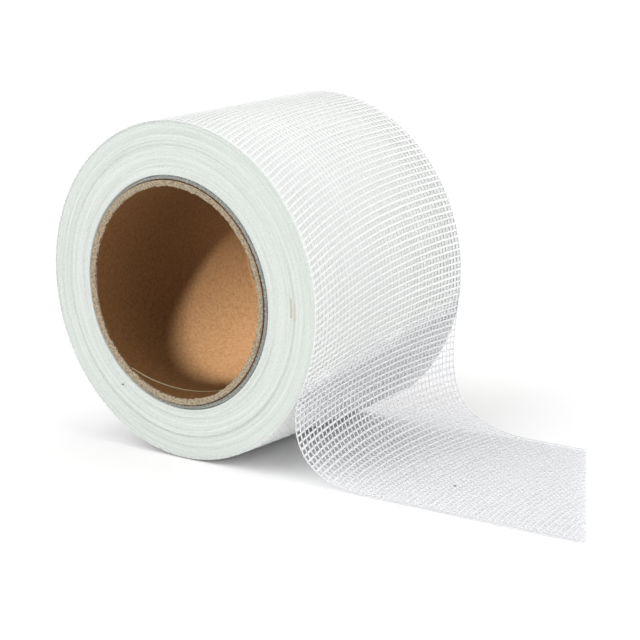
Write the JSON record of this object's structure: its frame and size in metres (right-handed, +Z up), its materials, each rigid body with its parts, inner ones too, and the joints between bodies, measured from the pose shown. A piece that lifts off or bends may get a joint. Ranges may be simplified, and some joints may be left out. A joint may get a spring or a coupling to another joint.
{
  "type": "roll of drywall mesh tape",
  "caption": "Open-weave glass-fibre joint tape for drywall seams, wound on a cardboard core, with its free end laid out on the floor.",
  "frame": {"origin": "on the floor, under the middle of the whole outline, halfway between the winding's far side and the tip of the free end", "axes": "+X towards the tip of the free end, +Y along the roll's axis to the back face, +Z up"},
  "size_m": [0.2266, 0.0856, 0.121],
  "materials": {
    "core_cardboard": "matte brown kraft paper",
    "mesh_tape": "satin white glass-fibre mesh"
  },
  "bodies": {
    "root": {"core_tube": "core_cardboard", "mesh_tape": "mesh_tape"}
  },
  "joints": []
}
